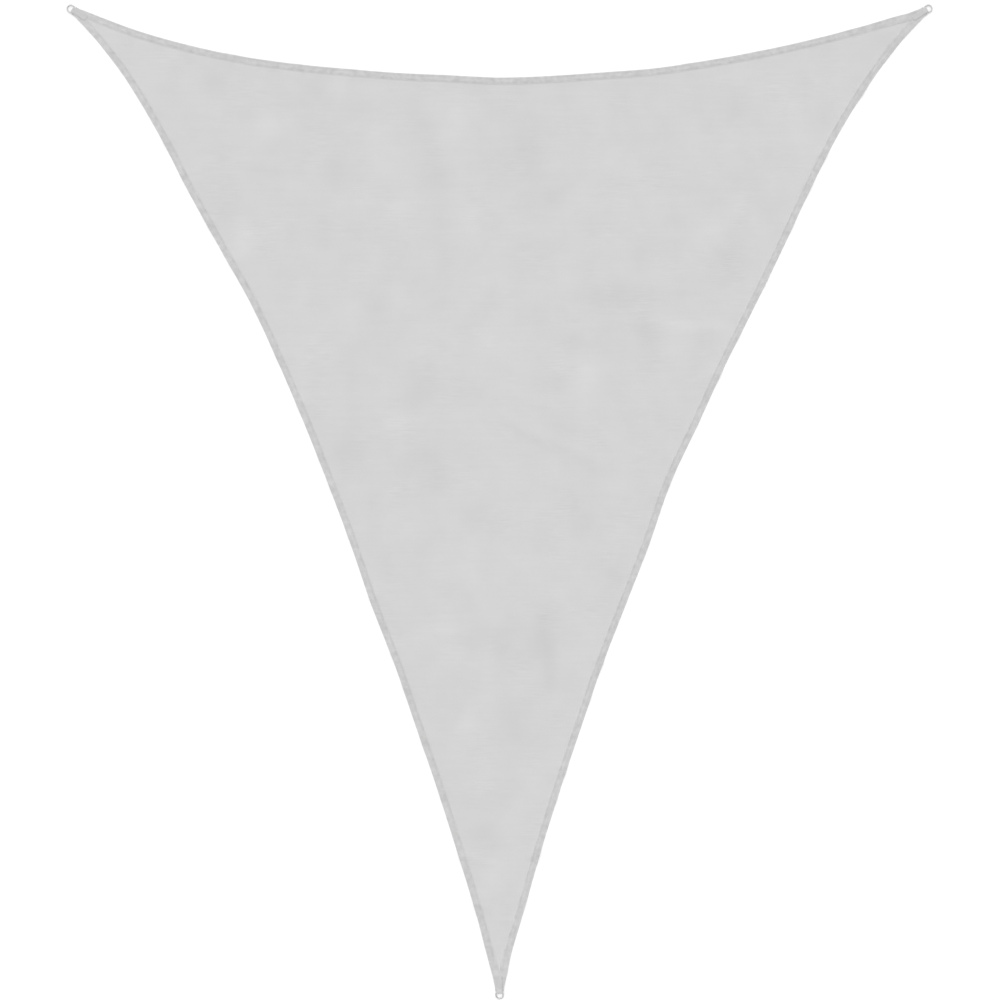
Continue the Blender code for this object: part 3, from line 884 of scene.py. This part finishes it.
def finish_piece(shape, name, material, slot, *nodes):
    """Turn a bmesh into a smooth object that rides with the sail and stands for some of its solids."""
    mesh = bpy.data.meshes.new(name)
    shape.to_mesh(mesh)
    shape.free()
    mesh.materials.append(material)
    mesh.shade_smooth()
    piece = add_object(name, mesh)
    return settle(piece, slot, *nodes)


def settle(piece, slot, *nodes):
    """Fasten a piece to the sail's one body and hide the solids that it stands for."""
    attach(piece, "root")
    if nodes:
        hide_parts(*nodes)
    return piece


def only(kind, items):
    """The items of one kind, points or edges, among all that an operator made."""
    return [item for item in items if isinstance(item, kind)]


def is_upright(face):
    return abs(face.normal.z) < UPRIGHT


def raise_sail(pattern):
    """Extrude the flat pattern, set both layers to their heights and round the fold at the rim."""
    bmesh.ops.recalc_face_normals(pattern, faces=pattern.faces)
    if pattern.faces[0].normal.z > 0:
        bmesh.ops.reverse_faces(pattern, faces=pattern.faces)
    lower = list(pattern.verts)
    copied = bmesh.ops.extrude_face_region(pattern, geom=pattern.faces[:])["geom"]
    upper = only(bmesh.types.BMVert, copied)
    low, _, _, _ = cloth_surface(np.array([tuple(vertex.co.xy) for vertex in lower]))
    _, top, _, _ = cloth_surface(np.array([tuple(vertex.co.xy) for vertex in upper]))
    for vertex, height_here in zip(lower + upper, np.concatenate([low, top])):
        vertex.co.z = height_here
    bmesh.ops.recalc_face_normals(pattern, faces=pattern.faces)
    pattern.normal_update()
    rim = [edge for edge in pattern.edges if sum(is_upright(face) for face in edge.link_faces) == 1]
    bmesh.ops.bevel(
        pattern,
        geom=rim,
        offset=RIM_BEVEL,
        offset_type="OFFSET",
        affect="EDGES",
        segments=RIM_STEPS,
        profile=0.5,
        material=-1,
        clamp_overlap=True,
    )
    return pattern


def carry(mesh, name, values):
    """Store one number a point on a mesh, for a finish to read."""
    mesh.attributes.new(name, "FLOAT", "POINT").data.foreach_set("value", values.astype(np.float32))


sail = finish_piece(raise_sail(cut), "sail", cloth_finish, "cloth", "sail_cloth")
sail_points = np.empty(len(sail.data.vertices) * 3)
sail.data.vertices.foreach_get("co", sail_points)
sail_points = sail_points.reshape(-1, 3)[:, :2]
_, _, layers_here, shade_here = cloth_surface(sail_points)
carry(sail.data, "layers", layers_here)
carry(sail.data, "shade", shade_here)
carry(sail.data, "patches", patches(sail_points))
print("sail:", len(sail.data.vertices), "points,", len(sail.data.polygons), "faces")

# %% [markdown]
# ## Thread
#
# The hem is sewn with a machine lockstitch: from above, each stitch is a short bridge of thread that dives
# into the cloth at both ends. There are thousands of them, so one stitch has only a few faces, and
# Geometry Nodes stands a copy of it on each place along a row. The places carry how each stitch is turned,
# because it follows both the curve of the edge and the slope of the cloth. Realizing the copies makes
# them one mesh. The thread is a little shinier than the cloth, and its finish reads the stitch's own UV
# map, in which U runs along the thread, so that the strands twist around each stitch.

# %% A twisted thread
THREAD_TONE = 0.54
STRAND_TONE = 0.05
WEAR_TONE = 0.04
TWISTS = 5.0
TWIST_DEPTH = 0.00012


def sewing_thread():
    finish = Finish("sewing_thread", roughness=0.62, gloss=0.40)
    along, around = finish.split(finish.node("ShaderNodeUVMap", {"uv_map": "thread"}))
    strands = ((along * TWISTS + around) * TURN).wave()
    wear = finish.cloud(finish.place(), scale=14.0)
    finish.feed("Base Color", finish.shade_of(THREAD_TONE + strands * STRAND_TONE + wear * WEAR_TONE))
    finish.bump(strands, TWIST_DEPTH)
    return finish.material


thread_finish = sewing_thread()
print("thread finish:", thread_finish.name)

# %% One stitch, and a row of them
STITCH_PITCH = 0.0046
STITCH_SHARE = 0.86
THREAD_WIDTH = 0.0009
STITCH_SINK = 0.00005
STEEPEST_CLIMB = 0.3


def stitch_shape(length):
    """A bridge of thread along X: a stretched ball, its ends bent down into the cloth."""
    ball = bmesh.new()
    bmesh.ops.create_uvsphere(ball, u_segments=6, v_segments=5, radius=0.5)
    upright = Matrix.Rotation(math.radians(90), 3, "Y")
    bmesh.ops.rotate(ball, verts=ball.verts, cent=(0.0, 0.0, 0.0), matrix=upright)
    bmesh.ops.scale(ball, verts=ball.verts, vec=(length, THREAD_WIDTH, THREAD_WIDTH))
    unwrapped = ball.loops.layers.uv.new("thread")
    for face in ball.faces:
        for loop in face.loops:
            x, y, z = loop.vert.co
            loop[unwrapped].uv = (x / length + 0.5, math.atan2(z, y) / TURN)
    for vertex in ball.verts:
        vertex.co.z -= THREAD_WIDTH * (2 * vertex.co.x / length) ** 2
    return ball


def evenly(line, pitch):
    """Points spaced evenly along a line of straight pieces, and the line's direction at each."""
    run = np.concatenate([[0.0], np.cumsum(np.linalg.norm(np.diff(line, axis=0), axis=1))])
    at = np.arange(pitch / 2, run[-1], pitch)
    places = np.stack([np.interp(at, run, column) for column in line.T], axis=1)
    ahead = np.stack([np.interp(at + pitch / 2, run, column) for column in line.T], axis=1)
    behind = np.stack([np.interp(at - pitch / 2, run, column) for column in line.T], axis=1)
    return places, (ahead - behind) / np.linalg.norm(ahead - behind, axis=1)[:, None]


def sew(name, places, directions, material):
    """Stand a stitch on each place, turned to its direction, and join them in one piece."""
    template_mesh = bpy.data.meshes.new("stitch")
    shape = stitch_shape(STITCH_PITCH * STITCH_SHARE)
    shape.to_mesh(template_mesh)
    shape.free()
    template_mesh.shade_smooth()
    template = add_object("stitch", template_mesh)
    yaw = np.arctan2(directions[:, 1], directions[:, 0])
    pitch = -np.arcsin(np.clip(directions[:, 2], -1.0, 1.0))
    spots = bpy.data.meshes.new(name)
    spots.vertices.add(len(places))
    spots.vertices.foreach_set("co", places.astype(np.float32).ravel())
    turned = np.stack([np.zeros(len(yaw)), pitch, yaw], axis=1)
    spots.attributes.new("turned", "FLOAT_VECTOR", "POINT").data.foreach_set(
        "vector", turned.astype(np.float32).ravel()
    )
    row = add_object(name, spots)
    row.modifiers.new("sewing", "NODES").node_group = sewing_nodes(template)
    copied = row.evaluated_get(bpy.context.evaluated_depsgraph_get())
    sewn = bpy.data.meshes.new_from_object(copied)
    row.modifiers.clear()
    row.data = sewn
    sewn.materials.clear()
    sewn.materials.append(material)
    bpy.data.meshes.remove(spots)
    bpy.data.objects.remove(template)
    print(name, "has", len(places), "stitches,", len(sewn.polygons), "faces")
    return row


def sewing_nodes(template):
    """Nodes that put the template on every point, turned as the point says, and realize the copies."""
    group = bpy.data.node_groups.new("sewing", "GeometryNodeTree")
    for in_out in ("INPUT", "OUTPUT"):
        group.interface.new_socket("Geometry", in_out=in_out, socket_type="NodeSocketGeometry")
    sewing = Nodes(group)
    places = sewing.node("NodeGroupInput")
    stitch = sewing.node("GeometryNodeObjectInfo", None, {"Object": template}, "Geometry")
    kind = {"data_type": "FLOAT_VECTOR"}
    turned = sewing.node("GeometryNodeInputNamedAttribute", kind, {"Name": "turned"}, "Attribute")
    rotation = sewing.node("FunctionNodeEulerToRotation", None, {0: turned})
    sockets = {"Points": places, "Instance": stitch, "Rotation": rotation}
    copies = sewing.node("GeometryNodeInstanceOnPoints", None, sockets)
    joined = sewing.node("GeometryNodeRealizeInstances", None, {0: copies})
    sewing.node("NodeGroupOutput", None, {0: joined})
    return group


# %% Two rows along each hem
STRAP_WIDTH = 0.025
STRAP_REACH = 0.074
RING_LEG = 0.0125


def under_a_strap(points):
    """Whether each point lies under a corner's strap."""
    covered = np.zeros(len(points), dtype=bool)
    for corner, centre in RING_CENTRES.items():
        inward = np.array(inward_axis(corner))
        from_centre = points - np.array(centre)
        run = from_centre.dot(inward)
        aside = np.abs(from_centre.dot(np.array((-inward[1], inward[0]))))
        covered |= (run < RING_LEG + STRAP_REACH + THREAD_WIDTH) & (aside < STRAP_WIDTH / 2 + THREAD_WIDTH)
    return covered


def hem_stitches(edge):
    """The places and directions of the stitches along one hem, on top of the cloth."""
    places = []
    directions = []
    for depth in STITCH_ROWS:
        on_floor, heading = evenly(offset_line(edge, depth), STITCH_PITCH)
        from_others, from_ends = room_at(on_floor, edge)
        kept = (from_others > STITCH_ROWS[0] / 2) & (from_ends > STITCH_PITCH) & ~under_a_strap(on_floor)
        on_floor, heading = on_floor[kept], heading[kept]
        _, top, _, _ = cloth_surface(on_floor)
        _, ahead, _, _ = cloth_surface(on_floor + heading * STITCH_PITCH / 2)
        climb = np.clip((ahead - top) / (STITCH_PITCH / 2), -STEEPEST_CLIMB, STEEPEST_CLIMB)
        places.append(np.column_stack([on_floor, top + THREAD_WIDTH / 2 - STITCH_SINK]))
        directions.append(np.column_stack([heading * np.sqrt(1.0 - climb**2)[:, None], climb]))
    return np.vstack(places), np.vstack(directions)


for edge in EDGES:
    sewn_row = sew(f"hem_stitching_{edge}", *hem_stitches(edge), thread_finish)
    settle(sewn_row, "cloth")

# %% [markdown]
# ## The corners
#
# At each corner the two hems cross on a narrow tongue, and a strap of flat webbing is folded around the
# straight bar of a D-shaped ring, with the tongue between its two legs. All three corners are alike, so
# each piece is made once in the corner's own frame, where the ring's bar lies along X and +Y points away
# from the cloth, and then a matrix puts it in its place. The objects themselves stay at the origin.

# %% A corner's own frame
WIRE_DIAMETER = 0.006
BAR_HEIGHT = STRAP_THICKNESS + GAP + WIRE_DIAMETER / 2
CORNER_TOP = CORNER_UNDERSIDE + CLOTH_THICKNESS + 2 * PRESSED_THICKNESS
UPPER_LEG_HEIGHT = CORNER_TOP + GAP + STRAP_THICKNESS / 2


def corner_place(corner):
    """The matrix that puts a piece from the corner's own frame in its place on the sail."""
    inward = inward_axis(corner)
    bar = RING_CENTRES[corner] + inward * RING_LEG
    heading = math.atan2(-inward.y, -inward.x) - math.pi / 2
    return Matrix.Translation((bar.x, bar.y, 0.0)) @ Matrix.Rotation(heading, 4, "Z")


def arc_points(centre, radius, start_degrees, end_degrees, steps):
    """Points along an arc, both ends included."""
    angles = np.radians(np.linspace(start_degrees, end_degrees, steps + 1))
    return [(centre[0] + radius * math.cos(a), centre[1] + radius * math.sin(a)) for a in angles]


for corner in RING_CENTRES:
    print(corner, "bar at", [round(value, 3) for value in corner_place(corner).translation])

# %% [markdown]
# ## Webbing
#
# Webbing is woven thick and narrow, so its ribs show from a step away. The strap starts as the side view
# of its loop, a line of short edges, which is drawn out to the webbing's width and cut into columns. Each
# point then moves a little along its normal in a plain weave, over and under. Solidify gives the
# thickness, less of it at the two selvedges, which makes them round. A bump on its UV map adds the yarns,
# which are finer than the mesh.

# %% Ribs and yarns
RIB_PITCH = 0.0017
CORD_PITCH = STRAP_WIDTH / 12
RIB_HEIGHT = 0.00016
YARN_DEPTH = 0.00020
RIB_SHARE = 0.6
WEBBING_TONE = 0.56
YARN_TONE = 0.05
CORD_TONE = 0.04
WEBBING_WEAR_TONE = 0.05


def woven_webbing():
    finish = Finish("woven_webbing", roughness=0.80, gloss=0.35)
    across, along = finish.split(finish.node("ShaderNodeUVMap", {"uv_map": "weave"}))
    ribs = (along * (TURN / RIB_PITCH * 2.0)).wave()
    cords = (across * (TURN / CORD_PITCH)).wave()
    yarns = ribs * RIB_SHARE + cords * (1.0 - RIB_SHARE)
    wear = finish.cloud(finish.place(), scale=60.0, detail=3.0)
    tone = WEBBING_TONE + yarns * YARN_TONE - cords * CORD_TONE + wear * WEBBING_WEAR_TONE
    finish.feed("Base Color", finish.shade_of(tone))
    finish.bump(yarns, YARN_DEPTH)
    return finish.material


webbing_finish = woven_webbing()
print("webbing finish:", webbing_finish.name)

# %% A strap looped round the bar
STRAP_NECK = 0.017
STRAP_LOOP_STEPS = 22
STRAP_COLUMNS = 24
SELVEDGE_WIDTH = 0.0030
SELVEDGE_THICKNESS = 0.40
RIM_DROP = 0.0007
SEWN_DOWN_FADE = 0.008


def strap_side_view():
    """The strap's middle line seen from the side, as (outward, height): lower leg, loop, upper leg."""
    loop_radius = WIRE_DIAMETER / 2 + GAP + STRAP_THICKNESS / 2
    drop = BAR_HEIGHT + loop_radius - UPPER_LEG_HEIGHT
    lean = math.degrees(math.atan2(drop, STRAP_NECK))
    loop = arc_points((0.0, BAR_HEIGHT), loop_radius, -90, 90 + lean, STRAP_LOOP_STEPS)
    lower = [(-STRAP_REACH, STRAP_THICKNESS / 2), (-STRAP_NECK, STRAP_THICKNESS / 2)]
    upper = [(-STRAP_NECK, UPPER_LEG_HEIGHT), (-STRAP_REACH, UPPER_LEG_HEIGHT)]
    return np.array(lower + loop + upper)


def fullness(point):
    """How full the webbing is at a point: 1, and less at its two selvedges and its cut ends."""
    from_rim = min(STRAP_WIDTH / 2 - abs(point.x), point.y + STRAP_REACH)
    return min(1.0, math.sqrt(max(0.0, from_rim) / SELVEDGE_WIDTH))


def rim_drop(point):
    """How far the stitching draws the rim of the upper leg down to the cloth."""
    if point.z < BAR_HEIGHT:
        return 0.0
    sewn_down = fade(point.y, -STRAP_NECK - SEWN_DOWN_FADE, -STRAP_NECK)
    return RIM_DROP * (1.0 - fullness(point)) * sewn_down


def strap_shape():
    """The middle surface of the strap, woven. Each point knows its run along the webbing."""
    line, _ = evenly(strap_side_view(), RIB_PITCH / 4)
    shape = bmesh.new()
    unwrapped = shape.loops.layers.uv.new("weave")
    run = shape.verts.layers.float.new("run")
    side = [shape.verts.new((-STRAP_WIDTH / 2, y, z)) for y, z in line]
    for number, vertex in enumerate(side):
        vertex[run] = number * RIB_PITCH / 4
    length = [shape.edges.new(pair) for pair in zip(side, side[1:])]
    drawn = bmesh.ops.extrude_edge_only(shape, edges=length)["geom"]
    far_side = only(bmesh.types.BMVert, drawn)
    bmesh.ops.translate(shape, verts=far_side, vec=(STRAP_WIDTH, 0.0, 0.0))
    across = [edge for edge in shape.edges if edge.calc_length() > STRAP_WIDTH / 2]
    bmesh.ops.subdivide_edges(shape, edges=across, cuts=STRAP_COLUMNS - 1, use_grid_fill=True)
    bmesh.ops.recalc_face_normals(shape, faces=shape.faces)
    for face in shape.faces:
        for loop in face.loops:
            loop[unwrapped].uv = (loop.vert.co.x, loop.vert[run])
    shape.normal_update()
    for vertex in shape.verts:
        along = math.sin(TURN * vertex[run] / RIB_PITCH)
        over_under = math.cos(math.pi * (vertex.co.x + STRAP_WIDTH / 2) / CORD_PITCH)
        vertex.co += vertex.normal * (RIB_HEIGHT * along * over_under)
        vertex.co.z -= rim_drop(vertex.co)
    return shape


def make_strap(corner):
    """A corner's strap, at its place, with a wall that thins towards its rim."""
    shape = strap_shape()
    fullness_here = [fullness(vertex.co) for vertex in shape.verts]
    bmesh.ops.transform(shape, matrix=corner_place(corner), verts=shape.verts)
    strap = finish_piece(shape, f"strap_{corner}", webbing_finish, "webbing", f"corner_strap_{corner}")
    body = strap.vertex_groups.new(name="body")
    for index, share in enumerate(fullness_here):
        body.add([index], share, "REPLACE")
    wall = strap.modifiers.new("webbing thickness", "SOLIDIFY")
    wall.thickness = STRAP_THICKNESS
    wall.offset = 0.0
    wall.vertex_group = "body"
    wall.thickness_vertex_group = SELVEDGE_THICKNESS
    return strap


straps = {corner: make_strap(corner) for corner in RING_CENTRES}
print("straps:", [strap.name for strap in straps.values()])

# %% [markdown]
# A strap that carries a sail is sewn down with a box and a cross: four rows around the rim of the leg, two
# from corner to corner. The stitches are the same as the hem's, so the same function places them, on lines
# drawn in the corner's own frame.

# %% A box and a cross on each strap
BOX_START = 0.0215
BOX_END = 0.0700
BOX_HALF_WIDTH = 0.0095
BAR_TACK = 0.0035
BOX_PITCH = 0.8 * STITCH_PITCH


def box_and_cross():
    """The lines of the stitching, as pairs of points in the corner's own frame."""
    near, far, side = -BOX_START, -BOX_END, BOX_HALF_WIDTH
    corners = [(-side, near), (side, near), (side, far), (-side, far)]
    box = list(zip(corners, corners[1:] + corners[:1]))
    tack = ((-side, near + BAR_TACK), (side, near + BAR_TACK))
    return box + [(corners[0], corners[2]), (corners[1], corners[3]), tack]


def strap_stitches(corner):
    """The places and directions of the stitches on one strap's upper leg."""
    place = np.array(corner_place(corner))
    height = UPPER_LEG_HEIGHT + STRAP_THICKNESS / 2 + THREAD_WIDTH / 2 - STITCH_SINK
    places = []
    directions = []
    for start, end in box_and_cross():
        spots, heading = evenly(np.array([start, end]), BOX_PITCH)
        spots = np.column_stack([spots, np.full(len(spots), height), np.ones(len(spots))])
        heading = np.column_stack([heading, np.zeros((len(heading), 2))])
        places.append(spots.dot(place.T)[:, :3])
        directions.append(heading.dot(place.T)[:, :3])
    return np.vstack(places), np.vstack(directions)


for corner in RING_CENTRES:
    sewn_box = sew(f"strap_stitching_{corner}", *strap_stitches(corner), thread_finish)
    settle(sewn_box, "webbing")

# %% [markdown]
# ## The rings
#
# Each ring is a D of stainless wire: a straight bar inside the strap's loop, two short legs and a half
# circle. A bender makes it from one wire, and so does this cell: a circle, the wire's section, is pushed
# along each straight stretch and spun round each bend until it meets itself. The ring tips down so that
# its bow rests on the floor.

# %% Wire, pushed and bent
RING_INNER_WIDTH = 0.027
RING_ARC_RADIUS = (RING_INNER_WIDTH + WIRE_DIAMETER) / 2
RING_CORNER_RADIUS = 0.005
RING_TILT = math.asin((BAR_HEIGHT - WIRE_DIAMETER / 2) / (RING_LEG + RING_ARC_RADIUS))
WIRE_SIDES = 20
BOW_STEPS = 44
CORNER_STEPS = 10
WIRE_TONE = 0.58
WIRE_ROUGHNESS = 0.38
SCRATCH_SHAPE = (1.0, 0.25, 1.0)
SCRATCH_ROUGHNESS = 0.12
SCRATCH_DEPTH = 0.00002
HANDLING_TONE = 0.06
HANDLING_ROUGHNESS = 0.08


def stainless_wire():
    finish = Finish("stainless_wire", roughness=WIRE_ROUGHNESS, metallic=1.0)
    place = finish.place()
    scratches = finish.cloud(finish.stretched(place, SCRATCH_SHAPE), scale=900.0, detail=3.0)
    handling = finish.cloud(place, scale=120.0)
    finish.feed("Base Color", finish.shade_of(WIRE_TONE + handling * HANDLING_TONE))
    wear_and_painted_shade = scratches * SCRATCH_ROUGHNESS + handling * HANDLING_ROUGHNESS
    finish.feed("Roughness", WIRE_ROUGHNESS + wear_and_painted_shade)
    finish.bump(scratches, SCRATCH_DEPTH)
    return finish.material


def push(shape, section, move):
    """Extrude the wire's section straight on."""
    drawn = bmesh.ops.extrude_edge_only(shape, edges=section)["geom"]
    ends = only(bmesh.types.BMVert, drawn)
    bmesh.ops.translate(shape, verts=ends, vec=move)
    return [edge for edge in only(bmesh.types.BMEdge, drawn) if set(edge.verts) <= set(ends)]


def bend(shape, section, centre, degrees, steps):
    """Spin the wire's section round a bend."""
    turned = bmesh.ops.spin(
        shape,
        geom=section,
        cent=(*centre, 0.0),
        axis=(0.0, 0.0, 1.0),
        angle=math.radians(degrees),
        steps=steps,
    )
    return only(bmesh.types.BMEdge, turned["geom_last"])


def ring_shape():
    """The D-ring in the corner's own frame: its bar along X, its bow towards +Y."""
    wire = bmesh.new()
    bmesh.ops.create_circle(wire, radius=WIRE_DIAMETER / 2, segments=WIRE_SIDES)
    sideways = Matrix.Rotation(math.radians(90), 3, "Y")
    bmesh.ops.rotate(wire, verts=wire.verts, cent=(0.0, 0.0, 0.0), matrix=sideways)
    bar_end = RING_ARC_RADIUS - RING_CORNER_RADIUS
    leg = RING_LEG - RING_CORNER_RADIUS
    section = push(wire, wire.edges[:], (bar_end, 0.0, 0.0))
    section = bend(wire, section, (bar_end, RING_CORNER_RADIUS), 90, CORNER_STEPS)
    section = push(wire, section, (0.0, leg, 0.0))
    section = bend(wire, section, (0.0, RING_LEG), 180, BOW_STEPS)
    section = push(wire, section, (0.0, -leg, 0.0))
    section = bend(wire, section, (-bar_end, RING_CORNER_RADIUS), 90, CORNER_STEPS)
    push(wire, section, (bar_end, 0.0, 0.0))
    bmesh.ops.remove_doubles(wire, verts=wire.verts, dist=WIRE_DIAMETER / 1000)
    bmesh.ops.recalc_face_normals(wire, faces=wire.faces)
    return wire


def make_ring(corner):
    shape = ring_shape()
    tipped = Matrix.Translation((0.0, 0.0, BAR_HEIGHT)) @ Matrix.Rotation(-RING_TILT, 4, "X")
    bmesh.ops.transform(shape, matrix=corner_place(corner) @ tipped, verts=shape.verts)
    return finish_piece(shape, f"ring_{corner}", wire_finish, "ring_wire", f"d_ring_{corner}")


wire_finish = stainless_wire()
rings = {corner: make_ring(corner) for corner in RING_CENTRES}
print("rings:", {ring.name: len(ring.data.polygons) for ring in rings.values()})

# %% [markdown]
# ## What the sail is
#
# The cloth was cut as a flat triangle a hem's width larger all round than the finished sail.
